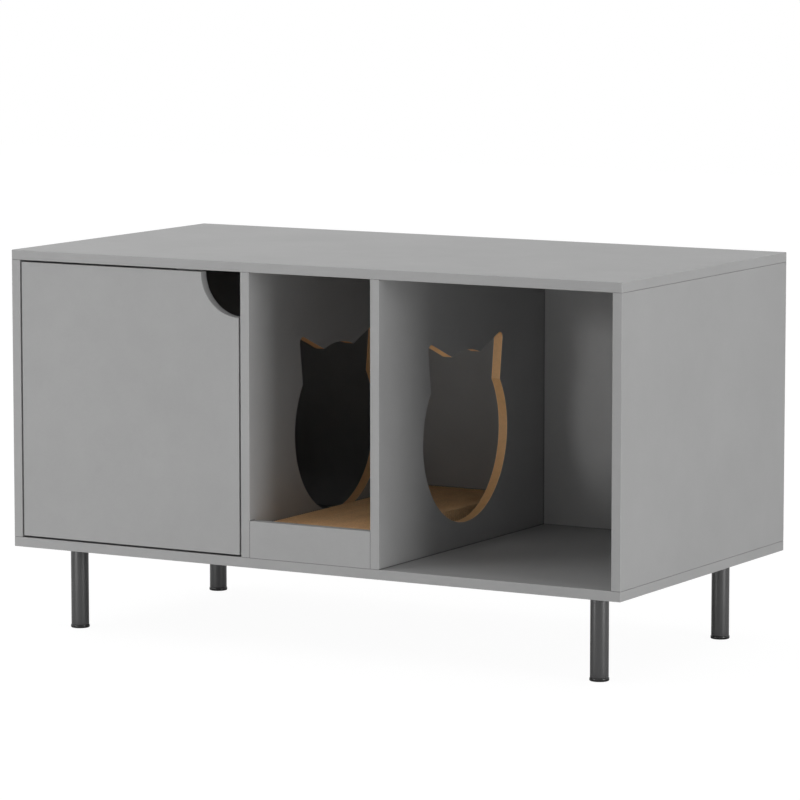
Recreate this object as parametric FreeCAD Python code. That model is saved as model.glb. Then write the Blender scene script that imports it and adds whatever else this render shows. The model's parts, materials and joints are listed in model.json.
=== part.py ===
import FreeCAD, Part
import math
import os
from FreeCAD import Vector

# A raised cat litter box cabinet: a laminated board carcass with three bays on four round
# metal legs. The left bay hides the litter box behind an inset door, the middle bay holds a
# corrugated cardboard scratch pad behind a low lip, and the right bay is open. Cat-head
# doorways in both dividers let the cat walk through all three bays.
#
# Millimetres. +Z is up, +X to the right seen from the front, +Y to the back.
# The origin is on the floor under the middle of the cabinet.

# ------------------------------------------------------------------ driving dimensions
BOARD = 15.0                  # thickness of every laminated board
CABINET_DEPTH = 552.0         # front edge to rear edge of the top panel
BAY_HEIGHT = 430.0            # clear height inside, under the top panel
LITTER_BAY_WIDTH = 397.0      # left bay, behind the door
SCRATCH_BAY_WIDTH = 209.0     # middle bay
OPEN_BAY_WIDTH = 384.0        # right bay
EDGE_EASE = 0.5               # small bevel on the edge banding of every board

BACK_THICKNESS = 5.0          # thin back panel, slid into grooves
BACK_SETBACK = 30.0           # rear edge of the carcass to the outside of the back panel
GROOVE_DEPTH = 6.0            # depth of the grooves that hold the back panel
GROOVE_PLAY = 0.2             # play of the back panel in its grooves, each way

LIP_HEIGHT = 56.0             # low board at the front of the scratch bay
LIP_DOWEL_RISE = 14.0         # dowels of the lip, in from its top and bottom edge

DOOR_GAP = 3.0                # gap all round the inset door
NOTCH_RADIUS = 66.0           # quarter-round finger notch in the door's top right corner

DOORWAY_RADIUS = 132.0        # round face of the cat-head doorway
DOORWAY_CENTRE_HEIGHT = 169.5 # centre of that circle above the cabinet floor
DOORWAY_CENTRE_DEPTH = 264.0  # centre of that circle behind the front edge
EAR_TIP_OUT = 118.0           # ear tip, sideways from the centre
EAR_TIP_UP = 154.0            # ear tip, above the centre
EAR_INNER_FOOT = 44.0         # inner slope meets the circle this far sideways
EAR_OUTER_FOOT = 108.0        # outer side meets the circle this far sideways
EAR_TIP_ROUND = 9.0           # rounding of the ear tip

PAD_WIDTH = 180.0             # corrugated cardboard scratch pad
PAD_THICKNESS = 47.0
PAD_CLEARANCE = 0.3           # pad to the boards around it

LEG_HEIGHT = 132.0            # floor to the underside of the bottom panel
LEG_DIAMETER = 27.5
LEG_WALL = 1.5
LEG_FROM_SIDE = 71.0          # leg axis in from the side face
LEG_FROM_FRONT = 74.0         # leg axis in from the front and rear edges
GLIDE_FLANGE_HEIGHT = 5.0     # visible part of the plastic foot glide
GLIDE_OVERHANG = 0.9          # flange stands this far outside the tube
GLIDE_PLUG_LENGTH = 18.0
GLIDE_BEVEL = 1.5
LEG_PLATE_SIZE = 60.0
LEG_PLATE_THICKNESS = 2.5
LEG_PLATE_CORNER = 8.0
LEG_PLATE_HOLE_PITCH = 44.0   # square pattern of the four plate screws
STUD_RADIUS = 4.0             # stud on the plate that the leg screws onto
STUD_LENGTH = 17.0
LEG_INSERT_LENGTH = 20.0      # threaded insert pressed into the top of the tube

CAM_RADIUS = 7.5              # cam lock bore
CAM_DEPTH = 12.5
CAM_SETBACK = 34.0            # cam centre to the joint
CAM_FROM_ENDS = 60.0          # cam lines in from the front edge and from the back panel
CAM_TO_DOWEL = 32.0
CAM_SLOT_LENGTH = 8.0         # slot for the screwdriver
CAM_SLOT_WIDTH = 1.6
CAM_SLOT_DEPTH = 2.0
BOLT_THREAD_RADIUS = 2.5
BOLT_THREAD_LENGTH = 11.0
BOLT_HEAD_RADIUS = 3.3
BOLT_HEAD_LENGTH = 4.0
BOLT_HEAD_TAPER = 1.0
BOLT_HEAD_ROOM = 1.0          # channel in the cam runs past the bolt's head
BOLT_HOLE_RADIUS = 4.0
DOWEL_RADIUS = 4.0
DOWEL_LENGTH = 30.0
DOWEL_IN_PANEL = 10.0
DOWEL_END_ROOM = 1.0          # hole runs past the dowel's end

SCREW_RADIUS = 1.75
SCREW_HEAD_RADIUS = 3.4
SCREW_HEAD_HEIGHT = 1.8
PLATE_SCREW_LENGTH = 12.0
BACK_SCREW_LENGTH = 25.0
BACK_SCREW_RISE = 100.0       # back panel screws, in from the top and bottom

# Concealed cup hinges for the inset door: a goose-neck arm turns on one pin in the cup.
HINGE_FROM_DOOR_END = 80.0    # hinge line in from the top and bottom edge of the door
CUP_RADIUS = 17.5
CUP_BORE_DEPTH = 11.5
CUP_EDGE_DISTANCE = 5.0       # door edge to the rim of the cup bore
CUP_WALL = 0.8
CUP_FLANGE_THICKNESS = 1.0
CUP_FLANGE_OVERHANG = 2.0
CUP_EAR_WIDTH = 13.0
CUP_SCREW_PITCH = 48.0
CUP_SCREW_OFFSET = 9.5        # screw line further from the door edge than the cup centre
PIN_RADIUS = 1.5
PIN_FROM_PANEL = 16.0         # pin axis to the inner face of the side panel
PIN_FROM_FRONT = 8.0          # pin axis to the front face of the door
PIN_BOSS_RADIUS = 2.8
ARM_WIDTH = 14.0
ARM_HALF_THICKNESS = 1.6
ARM_EYE_RADIUS = 3.2
ARM_SIDE_PLAY = 0.3
ARM_REACH = 37.0              # outer bend of the goose-neck, from the side panel
ARM_RISE = 18.5               # goose-neck leaves the cup at this depth behind the front
ARM_NECK = 27.0
ARM_CRANK = 41.0              # arm lies on its plate from this depth on
ARM_END = 88.0
PLATE_THICKNESS = 2.5
PLATE_LENGTH = 20.0
PLATE_HEIGHT = 52.0
PLATE_CORNER = 5.0
PLATE_SCREW_PITCH = 32.0
PLATE_SCREW_DEPTH = 62.0      # screw line of the plate behind the front edge
RIDGE_START = 44.0
RIDGE_END = 86.0
RIDGE_WIDTH = 12.0
RIDGE_TOP = 9.4               # top of the plate's ridge, from the side panel
CLAMP_SCREW_DEPTH = 78.0      # arm clamping screw and side adjusting screw
ADJUST_SCREW_DEPTH = 55.0
CLAMP_SCREW_RADIUS = 2.0
CLAMP_HEAD_RADIUS = 3.8
CLAMP_HEAD_HEIGHT = 2.2
CLAMP_SCREW_LENGTH = 6.5

# Magnetic catch under the top panel, and its strike plate on the door
CATCH_LENGTH = 46.0
CATCH_DEPTH = 14.0
CATCH_HEIGHT = 12.0
CATCH_EAR_LENGTH = 9.0
CATCH_EAR_THICKNESS = 3.0
CATCH_EAR_CORNER = 3.0
CATCH_BEVEL = 0.7
CATCH_FROM_NOTCH = 10.0
CATCH_WALL = 2.0
CATCH_GAP = 0.3               # pole plates to the strike plate
POLE_THICKNESS = 1.5
POLE_STANDOUT = 0.5
STRIKE_LENGTH = 38.0
STRIKE_HEIGHT = 11.0
STRIKE_THICKNESS = 1.2
STRIKE_CORNER = 2.5

FIT = 0.05                    # radial clearance of everything pressed or turned in a hole
FEW_SIDES = 6                 # flat sides of small fasteners and their holes
MANY_SIDES = 12               # flat sides of cam locks, studs and inserts
CUP_SIDES = 30                # flat sides of the hinge cups
GLIDE_SIDES = 30              # flat sides of the foot glides

# ------------------------------------------------------------------ derived places
CABINET_WIDTH = 4 * BOARD + LITTER_BAY_WIDTH + SCRATCH_BAY_WIDTH + OPEN_BAY_WIDTH
LEFT = -CABINET_WIDTH / 2
RIGHT = CABINET_WIDTH / 2
FRONT = -CABINET_DEPTH / 2
REAR = CABINET_DEPTH / 2
UNDERSIDE = LEG_HEIGHT
FLOOR = UNDERSIDE + BOARD
CEILING = FLOOR + BAY_HEIGHT
TOP = CEILING + BOARD

LITTER_BAY_LEFT = LEFT + BOARD
LITTER_BAY_RIGHT = LITTER_BAY_LEFT + LITTER_BAY_WIDTH
SCRATCH_BAY_LEFT = LITTER_BAY_RIGHT + BOARD
SCRATCH_BAY_RIGHT = SCRATCH_BAY_LEFT + SCRATCH_BAY_WIDTH
OPEN_BAY_LEFT = SCRATCH_BAY_RIGHT + BOARD
OPEN_BAY_RIGHT = OPEN_BAY_LEFT + OPEN_BAY_WIDTH

BACK_OUTER = REAR - BACK_SETBACK
BACK_INNER = BACK_OUTER - BACK_THICKNESS

X_AXIS = Vector(1, 0, 0)
Y_AXIS = Vector(0, 1, 0)
Z_AXIS = Vector(0, 0, 1)


# ------------------------------------------------------------------ small helpers
def block(x0, x1, y0, y1, z0, z1):
    """Rectangular block between two corners."""
    return Part.makeBox(x1 - x0, y1 - y0, z1 - z0, Vector(x0, y0, z0))


def rod(start, direction, radius, length):
    """Round rod or hole from a start point along a direction."""
    return Part.makeCylinder(radius, length, start, direction)


def faceted(profile, origin, direction, sides):
    """Turned shape with flat sides, for what is small or repeated: (radius, height) points."""
    place = FreeCAD.Placement(origin, FreeCAD.Rotation(Z_AXIS, direction))
    turns = [2 * math.pi * k / sides for k in range(sides)]
    rings = [[place.multVec(Vector(r * math.cos(t), r * math.sin(t), h)) for t in turns]
             for r, h in profile]
    faces = [Part.Face(Part.makePolygon(ring + ring[:1])) for ring in (rings[0], rings[-1])]
    for low, high in zip(rings, rings[1:]):
        for k in range(sides):
            n = (k + 1) % sides
            faces.append(Part.Face(Part.makePolygon([low[k], low[n], high[n], high[k],
                                                     low[k]])))
    solid = Part.makeSolid(Part.makeShell(faces))
    return solid if solid.Volume > 0 else solid.reversed()


def peg(start, direction, radius, length, sides):
    """Straight flat-sided peg or hole."""
    return faceted([(radius, 0), (radius, length)], start, direction, sides)


def prism(points, start, end):
    """Flat outline in X and Y, carried along Z from start to end."""
    wire = Part.makePolygon([Vector(x, y, start) for x, y in points + points[:1]])
    return Part.Face(wire).extrude(Vector(0, 0, end - start))


def board(x0, x1, y0, y1, z0, z1):
    """Laminated board with its edges eased."""
    slab = block(x0, x1, y0, y1, z0, z1)
    return slab.makeChamfer(EDGE_EASE, slab.Edges)


def group(solids):
    """Identical pieces kept as separate solids under one name."""
    return Part.makeCompound(solids)


def screw(head_face, direction, length):
    """Countersunk wood screw: head flush at head_face, point along direction."""
    profile = [(SCREW_HEAD_RADIUS, 0), (SCREW_RADIUS, SCREW_HEAD_HEIGHT), (SCREW_RADIUS, length)]
    return faceted(profile, head_face, direction, FEW_SIDES)


def screw_hole(head_face, direction, length):
    """Hole that a screw fills, with the fit clearance all round."""
    bore = SCREW_RADIUS + FIT
    head = SCREW_HEAD_RADIUS + FIT
    profile = [(head, 0), (bore, SCREW_HEAD_HEIGHT), (bore, length + FIT)]
    return faceted(profile, head_face, direction, FEW_SIDES)


# ------------------------------------------------------------------ knock-down joints
# Each upright board is held at its top and bottom edge by two cam locks, with a dowel
# beside each. A joint is (x of the board's mid-plane, side of the cam face, y, z of the
# joint, direction into the upright board).
UPRIGHTS = {
    "left_side_panel": (LEFT, 1),
    "left_divider": (LITTER_BAY_RIGHT, -1),
    "right_divider": (SCRATCH_BAY_RIGHT, -1),
    "right_side_panel": (OPEN_BAY_RIGHT, -1),
}
CAM_LINES = (FRONT + CAM_FROM_ENDS, BACK_INNER - CAM_FROM_ENDS)
DOWEL_LINES = (CAM_LINES[0] + CAM_TO_DOWEL, CAM_LINES[1] - CAM_TO_DOWEL)


def upright_joints(lines, names=tuple(UPRIGHTS)):
    """Every place on the given lines where an upright board meets the top or bottom."""
    for name in names:
        left_face, cam_side = UPRIGHTS[name]
        middle = left_face + BOARD / 2
        for y in lines:
            yield middle, cam_side, Vector(middle, y, FLOOR), Z_AXIS
            yield middle, cam_side, Vector(middle, y, CEILING), -Z_AXIS


def cam_bolt(joint, inward):
    """Cam bolt: thread in the panel, shank across the joint, head in the cam."""
    neck = BOLT_THREAD_RADIUS - FIT
    profile = [(neck, -BOLT_THREAD_LENGTH), (neck, CAM_SETBACK - BOLT_HEAD_LENGTH),
               (BOLT_HEAD_RADIUS, CAM_SETBACK - BOLT_HEAD_LENGTH + BOLT_HEAD_TAPER),
               (BOLT_HEAD_RADIUS, CAM_SETBACK)]
    return faceted(profile, joint, inward, FEW_SIDES)


def cam_lock(middle, cam_side, joint, inward):
    """Cam lock disc with its bolt channel and the screwdriver slot in its face."""
    face = Vector(middle + cam_side * BOARD / 2, joint.y, joint.z) + inward * CAM_SETBACK
    disc = peg(face, X_AXIS * -cam_side, CAM_RADIUS - FIT, CAM_DEPTH - FIT, MANY_SIDES)
    channel = peg(joint, inward, BOLT_HOLE_RADIUS, CAM_SETBACK + BOLT_HEAD_ROOM, FEW_SIDES)
    deep = [face.x, face.x - cam_side * CAM_SLOT_DEPTH]
    slot = block(min(deep), max(deep), face.y - CAM_SLOT_LENGTH / 2,
                 face.y + CAM_SLOT_LENGTH / 2, face.z - CAM_SLOT_WIDTH / 2,
                 face.z + CAM_SLOT_WIDTH / 2)
    return disc.cut(channel).cut(slot)


def dowel(joint, inward):
    """Beech dowel across a joint."""
    return peg(joint - inward * DOWEL_IN_PANEL, inward, DOWEL_RADIUS - FIT, DOWEL_LENGTH,
               FEW_SIDES)


def dowel_hole(joint, inward):
    """Bore for a dowel through both boards of a joint."""
    near = DOWEL_IN_PANEL + DOWEL_END_ROOM
    return peg(joint - inward * near, inward, DOWEL_RADIUS,
               DOWEL_LENGTH + 2 * DOWEL_END_ROOM, FEW_SIDES)


def lip_joints():
    """Dowel joints of the lip board: y and z at its middle, one pair at each end."""
    y = FRONT + BOARD / 2
    for z in (FLOOR + LIP_DOWEL_RISE, FLOOR + LIP_HEIGHT - LIP_DOWEL_RISE):
        yield Vector(SCRATCH_BAY_LEFT, y, z), X_AXIS
        yield Vector(SCRATCH_BAY_RIGHT, y, z), -X_AXIS


def upright_bores(name):
    """Cam, bolt and dowel bores in one upright board."""
    bores = []
    for middle, cam_side, joint, inward in upright_joints(CAM_LINES, (name,)):
        face = Vector(middle + cam_side * BOARD / 2, joint.y, joint.z) + inward * CAM_SETBACK
        bores.append(peg(face, X_AXIS * -cam_side, CAM_RADIUS, CAM_DEPTH, MANY_SIDES))
        bores.append(peg(joint, inward, BOLT_HOLE_RADIUS, CAM_SETBACK, FEW_SIDES))
    for middle, cam_side, joint, inward in upright_joints(DOWEL_LINES, (name,)):
        bores.append(dowel_hole(joint, inward))
    return bores


def panel_bores(level):
    """Bolt and dowel bores that the uprights need in the top or bottom panel."""
    bores = []
    for middle, cam_side, joint, inward in upright_joints(CAM_LINES):
        if joint.z == level:
            deep = BOLT_THREAD_LENGTH + FIT
            bores.append(peg(joint - inward * deep, inward, BOLT_THREAD_RADIUS, deep, FEW_SIDES))
    for middle, cam_side, joint, inward in upright_joints(DOWEL_LINES):
        if joint.z == level:
            bores.append(dowel_hole(joint, inward))
    return bores


# ------------------------------------------------------------------ carcass boards
def back_panel_slab(play):
    """Back panel outline, or its grooves when play is zero."""
    reach = GROOVE_DEPTH - play
    return block(LITTER_BAY_LEFT - reach, OPEN_BAY_RIGHT + reach, BACK_INNER, BACK_OUTER,
                 FLOOR - reach, CEILING + reach)


def back_panel():
    """Thin back panel, held in grooves in the outer boards and screwed to the dividers."""
    return back_panel_slab(GROOVE_PLAY).cut(group(back_screw_holes()))


def grooved(panel):
    """Board with the back panel's groove cut in it."""
    return panel.cut(back_panel_slab(0))


def top_panel():
    panel = grooved(board(LEFT, RIGHT, FRONT, REAR, CEILING, TOP))
    return panel.cut(group(panel_bores(CEILING) + catch_screw_holes()))


def bottom_panel():
    panel = grooved(board(LEFT, RIGHT, FRONT, REAR, UNDERSIDE, FLOOR))
    return panel.cut(group(panel_bores(FLOOR) + leg_screw_holes()))


def left_side_panel():
    panel = grooved(board(LEFT, LITTER_BAY_LEFT, FRONT, REAR, FLOOR, CEILING))
    return panel.cut(group(upright_bores("left_side_panel") + hinge_plate_screw_holes()))


def right_side_panel():
    panel = grooved(board(OPEN_BAY_RIGHT, RIGHT, FRONT, REAR, FLOOR, CEILING))
    return panel.cut(group(upright_bores("right_side_panel")))


def divider(name):
    """Divider with the cat-head doorway, between the front edge and the back panel."""
    left_face = UPRIGHTS[name][0]
    panel = board(left_face, left_face + BOARD, FRONT, BACK_INNER, FLOOR, CEILING)
    bores = upright_bores(name) + back_screw_holes()
    bores += [dowel_hole(joint, inward) for joint, inward in lip_joints()
              if abs(joint.x - left_face - BOARD / 2) < BOARD]
    return panel.cut(group(bores)).cut(cat_head(left_face, left_face + BOARD))


def cat_head(x0, x1):
    """Cat-head doorway: a round face with two rounded ears, cut from x0 to x1."""
    centre = Vector(x0, FRONT + DOORWAY_CENTRE_DEPTH, FLOOR + DOORWAY_CENTRE_HEIGHT)
    face = rod(centre, X_AXIS, DOORWAY_RADIUS, x1 - x0)
    for side in (-1, 1):
        face = face.fuse(ear(centre, side, x1 - x0))
    return face.removeSplitter()


def ear(centre, side, thickness):
    """One pointed ear of the doorway, its tip rounded."""
    inner_up = math.sqrt(DOORWAY_RADIUS ** 2 - EAR_INNER_FOOT ** 2)
    outer_up = math.sqrt(DOORWAY_RADIUS ** 2 - EAR_OUTER_FOOT ** 2)
    outline = [(0, 0), (EAR_INNER_FOOT, inner_up), (EAR_TIP_OUT, EAR_TIP_UP),
               (EAR_OUTER_FOOT, outer_up)]
    points = [centre + Vector(0, side * out, up) for out, up in outline]
    solid = Part.Face(Part.makePolygon(points + points[:1])).extrude(X_AXIS * thickness)
    tip = points[2]
    edges = [edge for edge in solid.Edges
             if abs(edge.CenterOfMass.y - tip.y) < FIT and abs(edge.CenterOfMass.z - tip.z) < FIT]
    return solid.makeFillet(EAR_TIP_ROUND, edges)


def front_lip_board():
    """Low board that keeps the scratch pad in."""
    panel = board(SCRATCH_BAY_LEFT, SCRATCH_BAY_RIGHT, FRONT, FRONT + BOARD,
                  FLOOR, FLOOR + LIP_HEIGHT)
    return panel.cut(group([dowel_hole(joint, inward) for joint, inward in lip_joints()]))


def cam_bolts():
    return group([cam_bolt(joint, inward)
                  for middle, cam_side, joint, inward in upright_joints(CAM_LINES)])


def cam_locks():
    return group([cam_lock(middle, cam_side, joint, inward)
                  for middle, cam_side, joint, inward in upright_joints(CAM_LINES)])


def wooden_dowels():
    dowels = [dowel(joint, inward)
              for middle, cam_side, joint, inward in upright_joints(DOWEL_LINES)]
    return group(dowels + [dowel(joint, inward) for joint, inward in lip_joints()])


def back_screw_places():
    """Back panel screws: two into the rear edge of each divider."""
    for name in ("left_divider", "right_divider"):
        middle = UPRIGHTS[name][0] + BOARD / 2
        for z in (FLOOR + BACK_SCREW_RISE, CEILING - BACK_SCREW_RISE):
            yield Vector(middle, BACK_OUTER, z)


def back_screw_holes():
    return [screw_hole(place, -Y_AXIS, BACK_SCREW_LENGTH) for place in back_screw_places()]


def back_panel_screws():
    return group([screw(place, -Y_AXIS, BACK_SCREW_LENGTH) for place in back_screw_places()])


# ------------------------------------------------------------------ legs
LEG_PLACES = {
    "front_left": (LEFT + LEG_FROM_SIDE, FRONT + LEG_FROM_FRONT),
    "front_right": (RIGHT - LEG_FROM_SIDE, FRONT + LEG_FROM_FRONT),
    "back_left": (LEFT + LEG_FROM_SIDE, REAR - LEG_FROM_FRONT),
    "back_right": (RIGHT - LEG_FROM_SIDE, REAR - LEG_FROM_FRONT),
}
LEG_TOP = UNDERSIDE - LEG_PLATE_THICKNESS
LEG_BORE = LEG_DIAMETER / 2 - LEG_WALL


def leg_screw_places():
    """Four screws through each leg plate, up into the bottom panel."""
    half = LEG_PLATE_HOLE_PITCH / 2
    for x, y in LEG_PLACES.values():
        for dx in (-half, half):
            for dy in (-half, half):
                yield Vector(x + dx, y + dy, LEG_TOP)


def leg_screw_holes():
    return [screw_hole(place, Z_AXIS, PLATE_SCREW_LENGTH) for place in leg_screw_places()]


def leg_plate_screws():
    return group([screw(place, Z_AXIS, PLATE_SCREW_LENGTH) for place in leg_screw_places()])


def leg_plate(x, y):
    """Square steel plate with cut corners, four countersunk holes and a stud hole."""
    half = LEG_PLATE_SIZE / 2
    plate = block(x - half, x + half, y - half, y + half, LEG_TOP, UNDERSIDE)
    corners = [edge for edge in plate.Edges if edge.BoundBox.ZLength > LEG_PLATE_THICKNESS / 2]
    plate = plate.makeChamfer(LEG_PLATE_CORNER, corners)
    stud_hole = peg(Vector(x, y, UNDERSIDE), -Z_AXIS, STUD_RADIUS, LEG_PLATE_THICKNESS,
                    MANY_SIDES)
    return plate.cut(group(leg_screw_holes() + [stud_hole]))


def leg_stud(x, y):
    """Stud riveted in the leg plate, pointing down into the leg."""
    return peg(Vector(x, y, UNDERSIDE), -Z_AXIS, STUD_RADIUS - FIT, STUD_LENGTH, MANY_SIDES)


def leg_insert(x, y):
    """Threaded insert in the top of the tube, with its blind bore for the stud."""
    top = Vector(x, y, LEG_TOP)
    insert = peg(top, -Z_AXIS, LEG_BORE - FIT, LEG_INSERT_LENGTH, MANY_SIDES)
    return insert.cut(peg(top, -Z_AXIS, STUD_RADIUS, STUD_LENGTH, MANY_SIDES))


def leg_tube(x, y):
    """Round steel tube from the plate down to the foot glide."""
    start = Vector(x, y, GLIDE_FLANGE_HEIGHT)
    length = LEG_TOP - GLIDE_FLANGE_HEIGHT
    tube = rod(start, Z_AXIS, LEG_DIAMETER / 2, length)
    return tube.cut(rod(start, Z_AXIS, LEG_BORE, length))


def foot_glide(x, y):
    """Plastic glide: bevelled flange on the floor and a plug pushed into the tube."""
    flange = LEG_DIAMETER / 2 + GLIDE_OVERHANG
    plug = LEG_BORE - FIT
    profile = [(flange - GLIDE_BEVEL, 0), (flange, GLIDE_BEVEL), (flange, GLIDE_FLANGE_HEIGHT),
               (plug, GLIDE_FLANGE_HEIGHT), (plug, GLIDE_FLANGE_HEIGHT + GLIDE_PLUG_LENGTH)]
    return faceted(profile, Vector(x, y, 0), Z_AXIS, GLIDE_SIDES)


# ------------------------------------------------------------------ scratch pad
def scratch_pad():
    """Corrugated cardboard pad lying between the lip board and the back panel."""
    return block(SCRATCH_BAY_LEFT + PAD_CLEARANCE, SCRATCH_BAY_LEFT + PAD_CLEARANCE + PAD_WIDTH,
                 FRONT + BOARD + PAD_CLEARANCE, BACK_INNER - PAD_CLEARANCE,
                 FLOOR + PAD_CLEARANCE, FLOOR + PAD_CLEARANCE + PAD_THICKNESS)


# ------------------------------------------------------------------ door
DOOR_LEFT = LITTER_BAY_LEFT + DOOR_GAP
DOOR_RIGHT = LITTER_BAY_RIGHT - DOOR_GAP
DOOR_BOTTOM = FLOOR + DOOR_GAP
DOOR_TOP = CEILING - DOOR_GAP
DOOR_BACK = FRONT + BOARD
HINGE_HEIGHTS = {"lower": DOOR_BOTTOM + HINGE_FROM_DOOR_END,
                 "upper": DOOR_TOP - HINGE_FROM_DOOR_END}
CUP_CENTRE_X = DOOR_LEFT + CUP_EDGE_DISTANCE + CUP_RADIUS
PIN_X = LITTER_BAY_LEFT + PIN_FROM_PANEL
PIN_Y = FRONT + PIN_FROM_FRONT


def door_panel():
    """Inset door with its quarter-round finger notch and the bores for cups and screws."""
    panel = board(DOOR_LEFT, DOOR_RIGHT, FRONT, DOOR_BACK, DOOR_BOTTOM, DOOR_TOP)
    notch = rod(Vector(DOOR_RIGHT, FRONT, DOOR_TOP), Y_AXIS, NOTCH_RADIUS, BOARD)
    bores = [peg(Vector(CUP_CENTRE_X, DOOR_BACK, z), -Y_AXIS, CUP_RADIUS, CUP_BORE_DEPTH,
                 CUP_SIDES) for z in HINGE_HEIGHTS.values()]
    bores += [screw_hole(place, -Y_AXIS, PLATE_SCREW_LENGTH) for place in cup_screw_places()]
    bores.append(screw_hole(strike_screw_place(), -Y_AXIS, PLATE_SCREW_LENGTH))
    return panel.cut(notch).cut(group(bores))


# ------------------------------------------------------------------ cup hinges
def cup_screw_places():
    """Two flange screws for each cup, above and below it."""
    for z in HINGE_HEIGHTS.values():
        for rise in (-CUP_SCREW_PITCH / 2, CUP_SCREW_PITCH / 2):
            yield Vector(CUP_CENTRE_X + CUP_SCREW_OFFSET, DOOR_BACK + CUP_FLANGE_THICKNESS,
                         z + rise)


def cup_flange(z):
    """Flat flange on the door's back: a round rim and one screw ear above and below."""
    radius = CUP_RADIUS + CUP_FLANGE_OVERHANG
    mouth = DOOR_BACK + CUP_FLANGE_THICKNESS
    flange = peg(Vector(CUP_CENTRE_X, mouth, z), -Y_AXIS, radius, CUP_FLANGE_THICKNESS,
                 CUP_SIDES)
    half = CUP_EAR_WIDTH / 2
    x = CUP_CENTRE_X + CUP_SCREW_OFFSET
    for rise in (-CUP_SCREW_PITCH / 2, CUP_SCREW_PITCH / 2):
        end = Vector(x, mouth, z + rise)
        flange = flange.fuse(peg(end, -Y_AXIS, half, CUP_FLANGE_THICKNESS, MANY_SIDES))
    flange = flange.fuse(block(x - half, x + half, DOOR_BACK, DOOR_BACK + CUP_FLANGE_THICKNESS,
                               z - CUP_SCREW_PITCH / 2, z + CUP_SCREW_PITCH / 2))
    return flange.removeSplitter()


def hinge_cup(z):
    """Pressed steel cup with its flange, pin bosses and a mouth for the goose-neck."""
    mouth = DOOR_BACK + CUP_FLANGE_THICKNESS
    bowl = peg(Vector(CUP_CENTRE_X, DOOR_BACK, z), -Y_AXIS, CUP_RADIUS - FIT,
               CUP_BORE_DEPTH - FIT, CUP_SIDES)
    cup = bowl.fuse(cup_flange(z))
    inner = CUP_RADIUS - FIT - CUP_WALL
    depth = CUP_BORE_DEPTH - FIT - CUP_WALL + CUP_FLANGE_THICKNESS
    cup = cup.cut(peg(Vector(CUP_CENTRE_X, mouth, z), -Y_AXIS, inner, depth, CUP_SIDES))
    slot = ARM_WIDTH / 2 + ARM_SIDE_PLAY
    for side in (-1, 1):
        boss = rod(Vector(PIN_X, PIN_Y, z + side * slot), Z_AXIS * side, PIN_BOSS_RADIUS,
                   CUP_RADIUS - slot)
        cup = cup.fuse(boss.common(bowl))
    cup = cup.cut(block(DOOR_LEFT - BOARD, PIN_X, PIN_Y, mouth + FIT, z - slot, z + slot))
    cup = cup.cut(rod(Vector(PIN_X, PIN_Y, z - CUP_RADIUS), Z_AXIS, PIN_RADIUS + FIT,
                      2 * CUP_RADIUS))
    return cup.cut(group([screw_hole(place, -Y_AXIS, PLATE_SCREW_LENGTH)
                          for place in cup_screw_places()]))


def pin_length():
    """The hinge pin reaches through the bosses to the cup's wall."""
    chord = math.sqrt((CUP_RADIUS - CUP_WALL) ** 2 - (CUP_CENTRE_X - PIN_X + PIN_RADIUS) ** 2)
    return 2 * chord


def hinge_pins():
    half = pin_length() / 2
    return group([rod(Vector(PIN_X, PIN_Y, z - half), Z_AXIS, PIN_RADIUS, 2 * half)
                  for z in HINGE_HEIGHTS.values()])


def hinge_cup_screws():
    return group([screw(place, -Y_AXIS, PLATE_SCREW_LENGTH) for place in cup_screw_places()])


def strip(points, half_thickness, z0, z1):
    """Bent strip that follows a centre line in X and Y, with rounded bends and ends."""
    solid = None
    for (ax, ay), (bx, by) in zip(points, points[1:]):
        length = math.hypot(bx - ax, by - ay)
        sx, sy = (ay - by) / length * half_thickness, (bx - ax) / length * half_thickness
        run = prism([(ax + sx, ay + sy), (bx + sx, by + sy), (bx - sx, by - sy),
                     (ax - sx, ay - sy)], z0, z1)
        bend = rod(Vector(bx, by, z0), Z_AXIS, half_thickness, z1 - z0)
        solid = run.fuse(bend) if solid is None else solid.fuse(run).fuse(bend)
    return solid


def hinge_arm(z):
    """Goose-neck arm: an eye round the pin, out of the cup, and back along the plate."""
    z0, z1 = z - ARM_WIDTH / 2, z + ARM_WIDTH / 2
    side = LITTER_BAY_LEFT
    rest = RIDGE_TOP + ARM_HALF_THICKNESS
    line = [(PIN_X, PIN_Y), (side + ARM_REACH, FRONT + ARM_RISE),
            (side + ARM_REACH, FRONT + ARM_NECK), (side + rest, FRONT + ARM_CRANK),
            (side + rest, FRONT + ARM_END)]
    arm = strip(line, ARM_HALF_THICKNESS, z0, z1)
    arm = arm.fuse(rod(Vector(PIN_X, PIN_Y, z0), Z_AXIS, ARM_EYE_RADIUS, ARM_WIDTH))
    arm = arm.removeSplitter()
    arm = arm.cut(rod(Vector(PIN_X, PIN_Y, z0), Z_AXIS, PIN_RADIUS + FIT, ARM_WIDTH))
    return arm.cut(group(clamp_holes(z)))


def clamp_holes(z):
    """Bores through arm and ridge for the clamping screw and the adjusting screw."""
    start = LITTER_BAY_LEFT + RIDGE_TOP + 2 * ARM_HALF_THICKNESS
    return [peg(Vector(start, FRONT + depth, z), -X_AXIS, CLAMP_SCREW_RADIUS + FIT,
                CLAMP_SCREW_LENGTH + FIT, FEW_SIDES)
            for depth in (ADJUST_SCREW_DEPTH, CLAMP_SCREW_DEPTH)]


def clamp_screw(depth, z):
    """Pan-head machine screw through the arm into the plate's ridge."""
    face = Vector(LITTER_BAY_LEFT + RIDGE_TOP + 2 * ARM_HALF_THICKNESS, FRONT + depth, z)
    profile = [(CLAMP_HEAD_RADIUS, -CLAMP_HEAD_HEIGHT), (CLAMP_HEAD_RADIUS, 0),
               (CLAMP_SCREW_RADIUS, 0), (CLAMP_SCREW_RADIUS, CLAMP_SCREW_LENGTH)]
    return faceted(profile, face, -X_AXIS, FEW_SIDES)


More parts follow.
